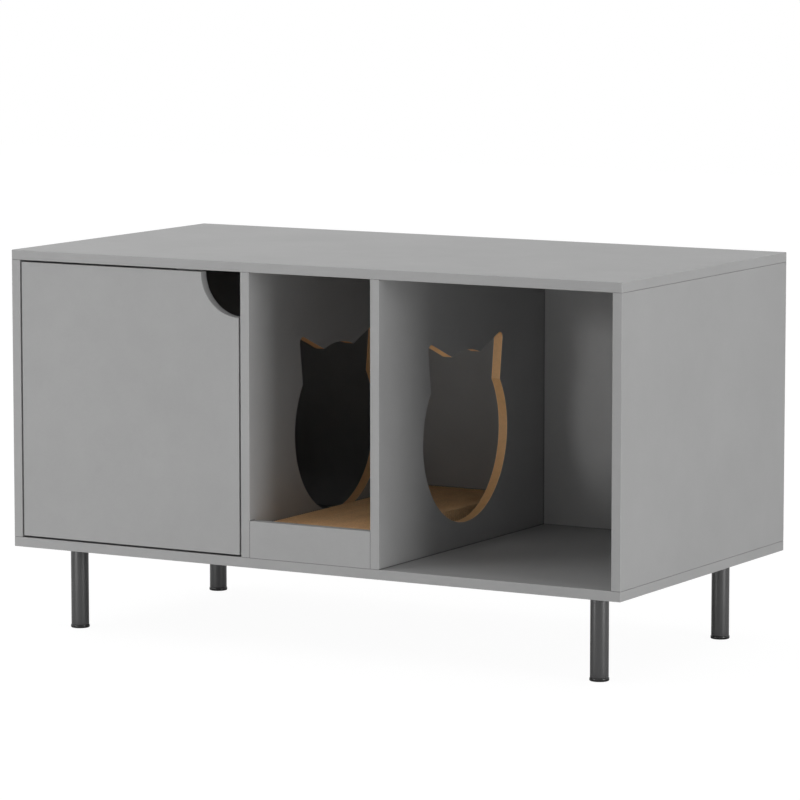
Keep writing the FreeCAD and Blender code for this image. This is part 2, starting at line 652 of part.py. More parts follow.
def hinge_clamp_screws():
    return group([clamp_screw(CLAMP_SCREW_DEPTH, z) for z in HINGE_HEIGHTS.values()])


def hinge_adjusting_screws():
    return group([clamp_screw(ADJUST_SCREW_DEPTH, z) for z in HINGE_HEIGHTS.values()])


def plate_screw_places():
    """Two screws through the wings of each mounting plate into the side panel."""
    for z in HINGE_HEIGHTS.values():
        for rise in (-PLATE_SCREW_PITCH / 2, PLATE_SCREW_PITCH / 2):
            yield Vector(LITTER_BAY_LEFT + PLATE_THICKNESS, FRONT + PLATE_SCREW_DEPTH, z + rise)


def hinge_plate_screw_holes():
    return [screw_hole(place, -X_AXIS, PLATE_SCREW_LENGTH) for place in plate_screw_places()]


def hinge_plate_screws():
    return group([screw(place, -X_AXIS, PLATE_SCREW_LENGTH) for place in plate_screw_places()])


def hinge_plate(z):
    """Winged mounting plate with the ridge that the arm is clamped to."""
    side = LITTER_BAY_LEFT
    middle = FRONT + PLATE_SCREW_DEPTH
    wings = block(side, side + PLATE_THICKNESS, middle - PLATE_LENGTH / 2,
                  middle + PLATE_LENGTH / 2, z - PLATE_HEIGHT / 2, z + PLATE_HEIGHT / 2)
    corners = [edge for edge in wings.Edges if edge.BoundBox.XLength > PLATE_THICKNESS / 2]
    wings = wings.makeChamfer(PLATE_CORNER, corners)
    ridge = block(side, side + RIDGE_TOP, FRONT + RIDGE_START, FRONT + RIDGE_END,
                  z - RIDGE_WIDTH / 2, z + RIDGE_WIDTH / 2)
    return wings.fuse(ridge).cut(group(hinge_plate_screw_holes() + clamp_holes(z)))


# ------------------------------------------------------------------ magnetic catch
CATCH_FRONT = DOOR_BACK + STRIKE_THICKNESS + CATCH_GAP + POLE_STANDOUT
CATCH_RIGHT = DOOR_RIGHT - NOTCH_RADIUS - CATCH_FROM_NOTCH - CATCH_EAR_LENGTH
CATCH_LEFT = CATCH_RIGHT - CATCH_LENGTH + 2 * CATCH_EAR_LENGTH
CATCH_MIDDLE = (CATCH_LEFT + CATCH_RIGHT) / 2
CATCH_BOTTOM = CEILING - CATCH_HEIGHT


def catch_screw_places():
    """One screw through each ear of the catch, up into the top panel."""
    y = CATCH_FRONT + CATCH_DEPTH / 2
    for x in (CATCH_LEFT - CATCH_EAR_LENGTH / 2, CATCH_RIGHT + CATCH_EAR_LENGTH / 2):
        yield Vector(x, y, CEILING - CATCH_EAR_THICKNESS)


def catch_screw_holes():
    return [screw_hole(place, Z_AXIS, PLATE_SCREW_LENGTH) for place in catch_screw_places()]


def catch_screws():
    return group([screw(place, Z_AXIS, PLATE_SCREW_LENGTH) for place in catch_screw_places()])


def catch_cavity():
    """Slot in the catch housing for the magnet and its two pole plates."""
    return block(CATCH_LEFT + CATCH_WALL, CATCH_RIGHT - CATCH_WALL, CATCH_FRONT,
                 CATCH_FRONT + CATCH_DEPTH - CATCH_WALL, CATCH_BOTTOM + CATCH_WALL,
                 CEILING - CATCH_EAR_THICKNESS)


def catch_housing():
    """Plastic housing with an ear at each end."""
    body = block(CATCH_LEFT, CATCH_RIGHT, CATCH_FRONT, CATCH_FRONT + CATCH_DEPTH,
                 CATCH_BOTTOM, CEILING)
    rims = [edge for edge in body.Edges if edge.BoundBox.ZMax < CATCH_BOTTOM + FIT]
    body = body.makeChamfer(CATCH_BEVEL, rims)
    ears = block(CATCH_LEFT - CATCH_EAR_LENGTH, CATCH_RIGHT + CATCH_EAR_LENGTH, CATCH_FRONT,
                 CATCH_FRONT + CATCH_DEPTH, CEILING - CATCH_EAR_THICKNESS, CEILING)
    corners = [edge for edge in ears.Edges
               if edge.BoundBox.ZLength > CATCH_EAR_THICKNESS / 2]
    ears = ears.makeChamfer(CATCH_EAR_CORNER, corners)
    return body.fuse(ears).cut(catch_cavity()).cut(group(catch_screw_holes()))


def catch_magnet():
    """Ferrite magnet between the two pole plates."""
    return block(CATCH_LEFT + CATCH_WALL, CATCH_RIGHT - CATCH_WALL, CATCH_FRONT,
                 CATCH_FRONT + CATCH_DEPTH - CATCH_WALL,
                 CATCH_BOTTOM + CATCH_WALL + POLE_THICKNESS,
                 CEILING - CATCH_EAR_THICKNESS - POLE_THICKNESS)


def catch_pole_plates():
    """Steel pole plates over and under the magnet, proud of the housing's front."""
    low = CATCH_BOTTOM + CATCH_WALL
    high = CEILING - CATCH_EAR_THICKNESS - POLE_THICKNESS
    return group([block(CATCH_LEFT + CATCH_WALL, CATCH_RIGHT - CATCH_WALL,
                        CATCH_FRONT - POLE_STANDOUT, CATCH_FRONT + CATCH_DEPTH - CATCH_WALL,
                        z, z + POLE_THICKNESS) for z in (low, high)])


def strike_screw_place():
    return Vector(CATCH_MIDDLE, DOOR_BACK + STRIKE_THICKNESS,
                  CATCH_BOTTOM + STRIKE_HEIGHT / 2 - CATCH_WALL)


def strike_plate():
    """Steel strike plate on the back of the door, opposite the catch."""
    middle = strike_screw_place()
    plate = block(middle.x - STRIKE_LENGTH / 2, middle.x + STRIKE_LENGTH / 2, DOOR_BACK,
                  middle.y, middle.z - STRIKE_HEIGHT / 2, middle.z + STRIKE_HEIGHT / 2)
    corners = [edge for edge in plate.Edges if edge.BoundBox.YLength > STRIKE_THICKNESS / 2]
    plate = plate.makeChamfer(STRIKE_CORNER, corners)
    return plate.cut(screw_hole(middle, -Y_AXIS, PLATE_SCREW_LENGTH))


def strike_plate_screw():
    return screw(strike_screw_place(), -Y_AXIS, PLATE_SCREW_LENGTH)


# ------------------------------------------------------------------ all pieces
def all_pieces():
    """Every node's name with its shape."""
    pieces = {
        "top_panel": top_panel(),
        "bottom_panel": bottom_panel(),
        "left_side_panel": left_side_panel(),
        "right_side_panel": right_side_panel(),
        "left_divider": divider("left_divider"),
        "right_divider": divider("right_divider"),
        "back_panel": back_panel(),
        "front_lip_board": front_lip_board(),
        "cam_bolts": cam_bolts(),
        "cam_locks": cam_locks(),
        "wooden_dowels": wooden_dowels(),
        "back_panel_screws": back_panel_screws(),
        "leg_plate_screws": leg_plate_screws(),
        "scratch_pad": scratch_pad(),
        "door_panel": door_panel(),
        "hinge_pins": hinge_pins(),
        "hinge_cup_screws": hinge_cup_screws(),
        "hinge_plate_screws": hinge_plate_screws(),
        "hinge_clamp_screws": hinge_clamp_screws(),
        "hinge_adjusting_screws": hinge_adjusting_screws(),
        "catch_housing": catch_housing(),
        "catch_magnet": catch_magnet(),
        "catch_pole_plates": catch_pole_plates(),
        "catch_screws": catch_screws(),
        "strike_plate": strike_plate(),
        "strike_plate_screw": strike_plate_screw(),
    }
    for place, (x, y) in LEG_PLACES.items():
        pieces[place + "_leg_tube"] = leg_tube(x, y)
        pieces[place + "_leg_plate"] = leg_plate(x, y)
        pieces[place + "_foot_glide"] = foot_glide(x, y)
    pieces["leg_studs"] = group([leg_stud(x, y) for x, y in LEG_PLACES.values()])
    pieces["leg_inserts"] = group([leg_insert(x, y) for x, y in LEG_PLACES.values()])
    for place, z in HINGE_HEIGHTS.items():
        pieces[place + "_hinge_cup"] = hinge_cup(z)
        pieces[place + "_hinge_arm"] = hinge_arm(z)
        pieces[place + "_hinge_plate"] = hinge_plate(z)
    return pieces


os.makedirs("parts", exist_ok=True)
for node, shape in all_pieces().items():
    shape.exportStep(os.path.join("parts", node + ".step"))
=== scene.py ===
import json
import math

import bmesh
import bpy
import numpy as np
from bpy.props import FloatProperty, FloatVectorProperty, IntProperty, PointerProperty
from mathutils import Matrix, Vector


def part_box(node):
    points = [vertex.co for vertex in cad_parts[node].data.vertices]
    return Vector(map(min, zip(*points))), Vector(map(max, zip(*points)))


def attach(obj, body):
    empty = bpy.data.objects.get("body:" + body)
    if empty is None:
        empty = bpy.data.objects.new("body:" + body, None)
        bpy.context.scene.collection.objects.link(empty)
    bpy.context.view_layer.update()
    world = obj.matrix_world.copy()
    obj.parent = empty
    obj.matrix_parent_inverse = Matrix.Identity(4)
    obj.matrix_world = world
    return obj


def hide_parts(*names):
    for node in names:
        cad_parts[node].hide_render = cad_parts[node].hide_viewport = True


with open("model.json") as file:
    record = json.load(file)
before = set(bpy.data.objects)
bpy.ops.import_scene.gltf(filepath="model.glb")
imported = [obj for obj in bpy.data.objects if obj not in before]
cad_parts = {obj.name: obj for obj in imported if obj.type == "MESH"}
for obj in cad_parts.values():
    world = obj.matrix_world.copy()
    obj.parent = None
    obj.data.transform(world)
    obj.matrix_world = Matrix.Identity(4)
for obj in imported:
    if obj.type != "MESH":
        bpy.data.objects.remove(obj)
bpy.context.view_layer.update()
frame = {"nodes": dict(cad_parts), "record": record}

bl_info = {
    "name": "Litter Cabinet Looks",
    "version": (1, 0, 0),
    "blender": (4, 5, 0),
    "location": "3D View > Sidebar > Cabinet",
    "description": "Finishes and fine pieces of a raised cat litter cabinet",
    "category": "Object",
}

# Metres. +Z is up, +X to the right seen from the front, +Y to the back. The origin is on the
# floor under the middle of the cabinet.
MM = 0.001


def mm(*sizes):
    """Sizes given in millimetres, as an array in metres."""
    return MM * np.array(sizes, float)


FIT = 0.05 * MM               # clearance of pushed-in pieces
TUBE_WALL = 1.5 * MM
EDGE_EASE = 0.49 * MM         # just under the bevel on every board's edges
ROUND = 48                    # sides of a small round piece
FINE_ROUND = 96               # sides of a leg, and of a ribbed piece
BAY_MIDDLE = (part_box("door_panel")[0].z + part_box("door_panel")[1].z) / 2
LEGS = ("front_left", "front_right", "back_left", "back_right")
BOARDS = ("top_panel", "bottom_panel", "left_side_panel", "right_side_panel", "left_divider",
          "right_divider", "front_lip_board", "back_panel", "door_panel")
BANDED_BOARDS = ("door_panel",)           # their cut edges are laminated too
PATTERN_STEP = (1.37, 2.11, 0.73)         # from one board's clouds to the next's
SLOTS = {row["node"]: row["material_slot"] for row in frame["record"]["subparts"]}

# The scratch pad: how far below its top the flutes and the liners are cut at most, and how far
# its glued core stays behind both ends.
FLUTE_DROP, LINER_DROP, CORE_INSET = mm(0.5, 0.4, 1)
POINTS_A_WAVE = 6
PAD_SEED = 7

# Colours of the metals.
ZINC = (0.62, 0.63, 0.64)
CAST_ZINC = (0.45, 0.45, 0.46)
NICKEL = (0.66, 0.63, 0.58)

# Body, direction that the head faces, and shape of each group of screws.
SCREWS = {
    "back_panel_screws": ("carcass", (0, 1, 0), "countersunk"),
    "leg_plate_screws": ("carcass", (0, 0, -1), "countersunk"),
    "catch_screws": ("carcass", (0, 0, -1), "countersunk"),
    "strike_plate_screw": ("door", (0, 1, 0), "countersunk"),
    "hinge_cup_screws": ("door", (0, 1, 0), "countersunk"),
    "hinge_plate_screws": ("carcass", (1, 0, 0), "countersunk"),
    "hinge_clamp_screws": ("carcass", (1, 0, 0), "pan_head"),
    "hinge_adjusting_screws": ("carcass", (1, 0, 0), "pan_head"),
}

# Side of each upright board that its cam locks open to: 1 for the right, -1 for the left.
CAM_FACES = {"left_side_panel": 1, "left_divider": -1, "right_divider": -1,
             "right_side_panel": -1}

# Threads: radius of the crest, radius of the core, and pitch.
WOOD_THREAD = mm(1.7, 1.1, 1.4)
MACHINE_THREAD = mm(2.0, 1.6, 0.8)
CAM_BOLT_THREAD = mm(2.4, 1.7, 2.0)
STUD_THREAD = mm(3.9, 3.3, 1.25)

# Turned profiles: (radius, depth below the end that shows) of each ring.
FLAT_HEAD = mm((1.2, 2.3), (3.25, 0.25), (3.35, 0.12), (3.2, 0))
PAN_HEAD = mm((3.7, 2.2), (3.75, 1.2), (3.4, 0.4), (2.6, 0))
CAM_BOLT_HEAD = mm((2.0, 8), (1.5, 7), (1.5, 4.5), (2.9, 4), (3.2, 3.4), (3.2, 0.6), (2.8, 0))
CAM_BOLT_COLLAR = mm((2.4, 0), (2.4, -2), (2.0, -2))        # from the end of its thread
CAM_LOCK_FACE = mm((7.4, 0.25), (7.2, 0), (6.2, 0), (6.0, 0.5))
CAM_LOCK_BACK = mm((7.0, 0), (7.4, -0.4))                   # from its hidden end

# Cross recesses: (arm, half width) at the mouth, the same at the bottom, and the depth.
FLAT_RECESS = mm(2.1, 0.5), mm(1.2, 0.3), 1.3 * MM
PAN_RECESS = mm(2.0, 0.5), mm(1.3, 0.35), 1.2 * MM
CAM_LOCK_RECESS = mm(4.2, 1.0), mm(3.2, 0.7), 3.0 * MM

AIM_HEIGHT = 0.35             # of the point over the origin that every lamp faces

# Place, watts and size of each soft lamp.
LAMPS = {
    "low_softbox": ((-0.9, -1.9, 0.02), 14.0, 0.8),
    "right_softbox": ((4.7, -1.0, 0.6), 104.0, 2.0),
    "high_softbox": ((-2.6, -2.6, 3.2), 25.0, 2.0),
    "back_softbox": ((-2.2, 0.6, 2.6), 12.0, 1.2),
    "front_softbox": ((0.2, -5.4, 0.5), 7.0, 1.6),
}


# ------------------------------------------------------------------ settings
class CabinetFinish(bpy.types.PropertyGroup):
    """Colours of the cabinet's finishes."""
    laminate: FloatVectorProperty(
        name="Laminate", description="Concrete-grey melamine on all boards",
        subtype="COLOR", default=(0.352, 0.352, 0.352), min=0, max=1)
    # The back's grey is lighter than the laminate's: painted light, standing in for the
    # brighter light on the back wall inside the bays.
    back: FloatVectorProperty(
        name="Back", description="Printed face of the thin back panel",
        subtype="COLOR", default=(0.44, 0.44, 0.44), min=0, max=1)
    mottle: FloatProperty(
        name="Mottling", description="How strongly the laminate's clouds show",
        subtype="FACTOR", default=0.10, min=0, max=0.5)
    raw_board: FloatVectorProperty(
        name="Raw board", description="Bare fibreboard at the doorway edges and in the bores",
        subtype="COLOR", default=(0.78, 0.455, 0.21), min=0, max=1)
    cardboard: FloatVectorProperty(
        name="Cardboard", description="Kraft paper of the scratch pad",
        subtype="COLOR", default=(0.92, 0.62, 0.34), min=0, max=1)
    leg_paint: FloatVectorProperty(
        name="Leg paint", description="Satin charcoal powder coat of the legs",
        subtype="COLOR", default=(0.064, 0.064, 0.065), min=0, max=1)


class ScratchPadSize(bpy.types.PropertyGroup):
    """Make-up of the corrugated scratch pad."""
    sheets: IntProperty(
        name="Sheets", description="Corrugated sheets glued side by side", default=45, min=2)
    flute_pitch: FloatProperty(
        name="Flute pitch", description="Length of one wave of the fluted paper",
        subtype="DISTANCE", unit="LENGTH", default=6.4 * MM)
    liner: FloatProperty(
        name="Liner", description="Thickness of the two glued liners between flutes",
        subtype="DISTANCE", unit="LENGTH", default=1.2 * MM)
    open_depth: FloatProperty(
        name="Open depth", description="Depth of the open flutes above the pad's glued core",
        subtype="DISTANCE", unit="LENGTH", default=1.0 * MM)
    paper: FloatProperty(
        name="Paper", description="Thickness of the fluted paper",
        subtype="DISTANCE", unit="LENGTH", default=1.1 * MM)


class CabinetStage(bpy.types.PropertyGroup):
    """Camera and light."""
    lens: FloatProperty(
        name="Lens", description="Focal length on a 36 mm wide sensor",
        unit="CAMERA", default=201.97)
    camera: FloatVectorProperty(
        name="Camera", description="Place of the camera", subtype="TRANSLATION",
        unit="LENGTH", default=(3.4018, -5.9353, 1.2113))
    pitch: FloatProperty(
        name="Pitch", description="Angle of the camera's view below the horizon",
        subtype="ANGLE", default=math.radians(7.076))
    yaw: FloatProperty(
        name="Yaw", description="Angle of the camera's view from straight at the front",
        subtype="ANGLE", default=math.radians(29.792))
    sky: FloatProperty(
        name="Sky light", description="Strength of the light from overhead", default=0.86)
    horizon: FloatProperty(
        name="Horizon light", description="Strength of the light from near the horizon",
        default=0.02)
    lamps: FloatProperty(
        name="Lamps", description="Strength of all the lamps, as a share of their own power",
        default=1.0)


# ------------------------------------------------------------------ surfaces
def ring_of(sides):
    """Angles of a full turn, the last before it closes."""
    return np.linspace(0, 2 * math.pi, sides, endpoint=False)


def frame_of(axis):
    """Two unit vectors square to an axis, and the axis: a right-handed set of rows."""
    w = np.asarray(axis, float) / np.linalg.norm(axis)
    u = np.cross((0, 0, 1) if abs(w[2]) < 0.9 else (1, 0, 0), w)
    u /= np.linalg.norm(u)
    return np.array([u, np.cross(w, u), w])


class Surface:
    """Closed surfaces collected into one mesh. Each is a grid of points: rows of rings."""

    def __init__(self):
        self.points, self.quads, self.caps, self.count = [], [], [], 0

    def loft(self, grid, loop=False):
        """Quads between neighbouring rings of a grid (rows, ring, 3). The rings close on
        themselves; the rows close on each other with loop, and else get a flat cap."""
        rows, ring = grid.shape[:2]
        index = self.count + np.arange(rows * ring).reshape(rows, ring)
        low = index if loop else index[:-1]
        high = np.roll(index, -1, 0) if loop else index[1:]
        quads = np.stack([low, np.roll(low, -1, 1), np.roll(high, -1, 1), high], -1)
        self.quads.append(quads.reshape(-1, 4))
        if not loop:
            self.caps += [index[0][::-1], index[-1]]
        self.points.append(grid.reshape(-1, 3))
        self.count += rows * ring

    def turned(self, profile, origin, axis, loop=False):
        """Each (radius, height) of a profile turned about an axis: origin + radius (u cos t
        + v sin t) + height w, where w is the axis and u and v are square to it."""
        radius, height = np.asarray(profile, float).T
        turn, (u, v, w) = ring_of(FINE_ROUND), frame_of(axis)
        across = np.cos(turn)[:, None] * u + np.sin(turn)[:, None] * v
        grid = radius[:, None, None] * across + height[:, None, None] * w + np.asarray(origin)
        self.loft(grid, loop)

    def layers(self, outlines, heights, origin, axis):
        """Flat outlines (rows, ring, 2), each carried to its height along an axis: origin +
        x u + y v + height w, where w is the axis and u and v are square to it."""
        u, v, w = frame_of(axis)
        outlines = np.asarray(outlines, float)
        grid = (outlines[..., :1] * u + outlines[..., 1:] * v
                + np.asarray(heights, float)[:, None, None] * w + np.asarray(origin))
        self.loft(grid)

    def finish(self, name, body, slot, replaces=(), smooth=35.0):
        """The mesh as an object that rides on a body, its faces turned outwards. Edges that
        turn by more than smooth degrees stay sharp."""
        mesh = bpy.data.meshes.new(name)
        faces = np.concatenate(self.quads).tolist() + [cap.tolist() for cap in self.caps]
        mesh.from_pydata(np.concatenate(self.points), [], faces)
        work = bmesh.new()
        work.from_mesh(mesh)
        bmesh.ops.recalc_face_normals(work, faces=work.faces)
        work.to_mesh(mesh)
        work.free()
        mesh.shade_smooth()
        mesh.set_sharp_from_angle(angle=math.radians(smooth))
        piece = bpy.data.objects.new(name, mesh)
        bpy.context.scene.collection.objects.link(piece)
        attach(piece, body)
        if replaces:
            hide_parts(*replaces)
        return piece


def solids_of(node):
    """(centre, lowest corner, highest corner) of each separate solid of a CAD node."""
    mesh = frame["nodes"][node].data
    loose = np.empty(3 * len(mesh.vertices), np.float32)
    mesh.vertices.foreach_get("co", loose)
    ends = np.empty(2 * len(mesh.edges), np.int32)
    mesh.edges.foreach_get("vertices", ends)
    loose = np.round(loose.reshape(-1, 3).astype(float), 6)
    places, welded = np.unique(loose, axis=0, return_inverse=True)
    ends = welded.reshape(-1)[ends.reshape(-1, 2)]
    # Each point takes the lowest label of the points that it is joined to, until none changes.
    label, before = np.arange(len(places)), None
    while before is None or (label != before).any():
        before = label.copy()
        lowest = label[ends].min(1)
        np.minimum.at(label, ends[:, 0], lowest)
        np.minimum.at(label, ends[:, 1], lowest)
    for key in np.unique(label):
        low, high = places[label == key].min(0), places[label == key].max(0)
        yield (low + high) / 2, low, high


def end_of(centre, low, high, axis):
    """The middle of a box's end that an axis points to, and the box's length along it."""
    axis = np.asarray(axis, float)
    length = abs((high - low) @ axis)
    return centre + axis * length / 2, length


def fluted(radius):
    """Outline (radius cos t, radius sin t), with a radius for each angle t of a full turn."""
    turn = ring_of(len(radius))
    return np.stack([np.cos(turn) * radius, np.sin(turn) * radius], -1)


def circle(radius, sides=ROUND):
    """Outline of one radius all round."""
    return fluted(np.full(sides, radius))


def cross(arm, half_width):
    """Plus-shaped outline: r = min(arm / cos t, half_width / sin t) in each eighth turn."""
    part = np.abs((ring_of(ROUND) + math.pi / 4) % (math.pi / 2) - math.pi / 4)
    with np.errstate(divide="ignore"):
        radius = np.minimum(arm / np.cos(part), half_width / np.sin(part))
    return fluted(radius)


def threaded(crest, core, pitch, start, stop, steps=6):
    """Rings of a screw thread, and their heights: radius = core + (crest - core) ridge fade.
    The ridge falls from 1 to 0 and back over a pitch and climbs a pitch a turn; the fade
    rises from 0 to 1 over a pitch at both ends. A pitch has steps rings."""
    heights = np.linspace(start, stop, max(2, round((stop - start) / pitch * steps)))
    turn = ring_of(ROUND)
    ridge = np.abs(2 * ((heights[:, None] / pitch - turn / (2 * math.pi)) % 1) - 1)
    fade = np.clip(np.minimum(heights - start, stop - heights) / pitch, 0, 1)[:, None]
    radius = core + (crest - core) * ridge * fade
    return np.stack([np.cos(turn) * radius, np.sin(turn) * radius], -1), heights


def turned_rings(profile):
    """Rings of a turned profile of (radius, depth), and their heights."""
    return [circle(radius) for radius in profile[:, 0]], list(-profile[:, 1])


def recessed_rings(profile, mouth, bottom, depth):
    """Rings of a turned profile and of the cross recess that opens in its last ring, and
    their heights."""
    rings, heights = turned_rings(profile)
    return rings + [cross(*mouth), cross(*bottom)], heights + [heights[-1], -depth]


def rounded(profile, radius, steps=4):
    """A profile of (radius, height) whose corners between its ends are rounded, each by the
    arc (1 - s)^2 start + 2 s (1 - s) corner + s^2 stop, s from 0 to 1."""
    profile = np.asarray(profile, float)
    points = [profile[0]]
    share = np.linspace(0, 1, steps + 1)[:, None]
    for before, corner, after in zip(profile, profile[1:], profile[2:]):
        reach = [min(radius, np.linalg.norm(end - corner) / 2) for end in (before, after)]
        start, stop = (corner + (end - corner) / np.linalg.norm(end - corner) * length
                       for end, length in zip((before, after), reach))
        arc = (1 - share) ** 2 * start + 2 * share * (1 - share) * corner + share ** 2 * stop
        points.extend(arc)
    return np.array(points + [profile[-1]])


# ------------------------------------------------------------------ materials
class Shader:
    """A new material's node tree, with short words for what the finishes need."""

    def __init__(self, name, **sockets):
        self.material = bpy.data.materials.new(name)
        self.material.use_nodes = True
        self.tree = self.material.node_tree
        self.surface = self.tree.nodes["Principled BSDF"]
        for socket, value in sockets.items():
            self.surface.inputs[socket.replace("_", " ")].default_value = value
        self.place = self.add("ShaderNodeTexCoord").outputs["Object"]

    def add(self, kind, links=None, **settings):
        """A new node, its settings made and each input linked to a socket or given a value."""
        node = self.tree.nodes.new(kind)
        for key, value in settings.items():
            setattr(node, key, value)
        for socket, value in (links or {}).items():
            if isinstance(value, bpy.types.NodeSocket):
                self.tree.links.new(value, node.inputs[socket])
            else:
                node.inputs[socket].default_value = value
        return node

    def math(self, operation, *values):
        """The result of a Math node on numbers or sockets."""
        node = self.add("ShaderNodeMath", dict(enumerate(values)), operation=operation)
        return node.outputs[0]

    def noise(self, scale, detail=2.0, roughness=0.5, shift=(0, 0, 0)):
        """Smooth noise about 0.5, of scale cells a metre, with detail finer octaves."""
        moved = self.add("ShaderNodeMapping", {"Vector": self.place, "Location": shift})
        return self.add("ShaderNodeTexNoise", {
            "Vector": moved.outputs[0], "Scale": scale, "Detail": detail,
            "Roughness": roughness}).outputs["Fac"]

    def about(self, middle, noise, swing):
        """A number that follows a noise about its middle, over a full swing."""
        return self.math("MULTIPLY_ADD", noise, swing, middle - swing / 2)

    def tinted(self, colour, *factors):
        """A colour made lighter and darker by factors about 1."""
        gain = factors[0]
        for factor in factors[1:]:
            gain = self.math("MULTIPLY", gain, factor)
        base = self.add("ShaderNodeRGB")
        base.outputs[0].default_value = (*colour, 1)
        return self.add("ShaderNodeVectorMath", {0: base.outputs[0], 1: gain},
                        operation="MULTIPLY").outputs[0]

    def mixed(self, share, low, high):
        """The low colour where share is 0, and the high one where it is 1."""
        node = self.add("ShaderNodeMix", {0: share}, data_type="RGBA")
        for socket, value in ((6, low), (7, high)):
            self.tree.links.new(value, node.inputs[socket])
        return node.outputs[2]

    def bump(self, height, depth, strength):
        """Small relief of a height map, its full swing depth metres."""
        node = self.add("ShaderNodeBump", {"Height": height, "Distance": depth,
                                           "Strength": strength})
        self.tree.links.new(node.outputs[0], self.surface.inputs["Normal"])

    def colour(self, value):
        self.tree.links.new(value, self.surface.inputs["Base Color"])

    def sheen(self, rough, noise, swing):
        """Roughness that follows a noise about its middle."""
        self.tree.links.new(self.about(rough, noise, swing), self.surface.inputs["Roughness"])

    def off_faces(self, low, high, depths):
        """For each axis, 1 where the place is deeper than its depth inside a box."""
        axes = self.add("ShaderNodeSeparateXYZ", {0: self.place}).outputs
        return [self.math("MULTIPLY", self.math("GREATER_THAN", axes[i], low[i] + depths[i]),
                          self.math("LESS_THAN", axes[i], high[i] - depths[i]))
                for i in range(3)]

    def inside(self, low, high, depths):
        """1 where the place is deeper than depths inside a box, and 0 elsewhere."""
        x, y, z = self.off_faces(low, high, depths)
        return self.math("MULTIPLY", self.math("MULTIPLY", x, y), z)

    def on_edge(self, low, high, depth):
        """1 on the bevels along a box's edges, near two faces at once, and 0 elsewhere."""
        x, y, z = self.off_faces(low, high, (depth,) * 3)
        return self.math("LESS_THAN", self.math("ADD", self.math("ADD", x, y), z), 1.5)

    def painted_crevice_shade(self, reach, power):
        """Painted shade: 1 in the open, and darker in joints and gaps narrower than reach: the
        share of sky that the surface sees within reach, to a power."""
        near = self.add("ShaderNodeAmbientOcclusion", {"Distance": reach}, samples=8)
        return self.math("POWER", near.outputs["AO"], power)


def bare_board(shader, low, high, finish, shift):
    """Where a board is cut open, as a share of 1 below its laminate and 0 in it, and the
    colour there: fine fibres, faint layers and a painted highlight, a lighter rim next to the
    laminate."""
    paper, banding, rim = mm(0.25, 0.8, 0.8)
    rim_highlight_gain = 0.25
    thin = min(range(3), key=lambda axis: high[axis] - low[axis])
    depths = [paper if axis == thin else banding for axis in range(3)]
    fibres = shader.noise(900.0, detail=3.0, roughness=0.7, shift=shift)
    layers = shader.noise(160.0, shift=shift)
    core = shader.inside(low, high, [depth + rim for depth in depths])
    # The last factor is painted highlight: a lighter band along the laminate's edges.
    colour = shader.tinted(finish.raw_board, shader.about(1.0, fibres, 0.35),
                           shader.about(1.0, layers, 0.2),
                           shader.math("MULTIPLY_ADD", core, -rim_highlight_gain, 1 + rim_highlight_gain))
    return shader.inside(low, high, depths), colour


def laminate(name, colour, finish, number):
    """Melamine paper on board: concrete-like clouds, smaller patches and fine specks, with a
    painted highlight on the bevels and painted shade in joints and gaps. Where it is cut open,
    fibreboard shows."""
    # Gain of the painted highlight on the bevels, and reach and power of the painted shade in
    # joints and gaps.
    bevel_highlight_gain, shade_reach, shade_power = 0.15, 2.0 * MM, 1.6
    shader = Shader(name + "_laminate", Specular_IOR_Level=0.4)
    shift = tuple(number * step for step in PATTERN_STEP)
    clouds = shader.noise(7.0, detail=5.0, roughness=0.55, shift=shift)
    patches = shader.noise(26.0, detail=4.0, roughness=0.6, shift=shift)
    specks = shader.noise(420.0, roughness=0.6, shift=shift)
    low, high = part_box(name)
    edge = shader.on_edge(low, high, EDGE_EASE)
    # The last two factors are painted light: a highlight on the bevels and shade in joints and
    # gaps.
    face = shader.tinted(colour, shader.about(1.0, clouds, finish.mottle * 1.5),
                         shader.about(1.0, patches, finish.mottle),
                         shader.about(1.0, specks, finish.mottle * 0.5),
                         shader.math("MULTIPLY_ADD", edge, bevel_highlight_gain, 1.0),
                         shader.painted_crevice_shade(shade_reach, shade_power))
    if name in BANDED_BOARDS:
        shader.colour(face)
    else:
        cut, bare = bare_board(shader, low, high, finish, shift)
        shader.colour(shader.mixed(cut, face, bare))
    shader.sheen(0.52, patches, 0.16)
    shader.bump(shader.noise(1500.0, roughness=0.6, shift=shift), 0.03 * MM, 0.5)
    return shader.material


def painted(name, colour):
    """Powder coat: an even colour with a satin sheen and a faint orange-peel relief."""
    shader = Shader(name, Specular_IOR_Level=0.5)
    tone = shader.noise(40.0, detail=3.0)
    shader.colour(shader.tinted(colour, shader.about(1.0, tone, 0.08)))
    shader.sheen(0.34, shader.noise(30.0, detail=0.0), 0.1)
    shader.bump(shader.noise(300.0, detail=0.0), 0.0015 * MM, 0.4)
    return shader.material


def metal(name, colour, rough, grain=600.0):
    """Plated or cast metal with a faintly uneven sheen, of grain cells a metre."""
    shader = Shader(name, Metallic=1.0)
    tone = shader.noise(120.0, detail=3.0)
    shader.colour(shader.tinted(colour, shader.about(1.0, tone, 0.15)))
    shader.sheen(rough, shader.noise(grain, detail=3.0, roughness=0.6), 0.12)
    shader.bump(shader.noise(grain, roughness=0.6), 0.02 * MM, 0.5)
    return shader.material


def plastic(name, colour, rough):
    """Moulded plastic with a faint moulding texture."""
    shader = Shader(name, Specular_IOR_Level=0.5)
    shader.colour(shader.tinted(colour, shader.about(1.0, shader.noise(60.0), 0.06)))
    shader.sheen(rough, shader.noise(200.0), 0.06)
    shader.bump(shader.noise(1800.0), 0.01 * MM, 0.4)
    return shader.material


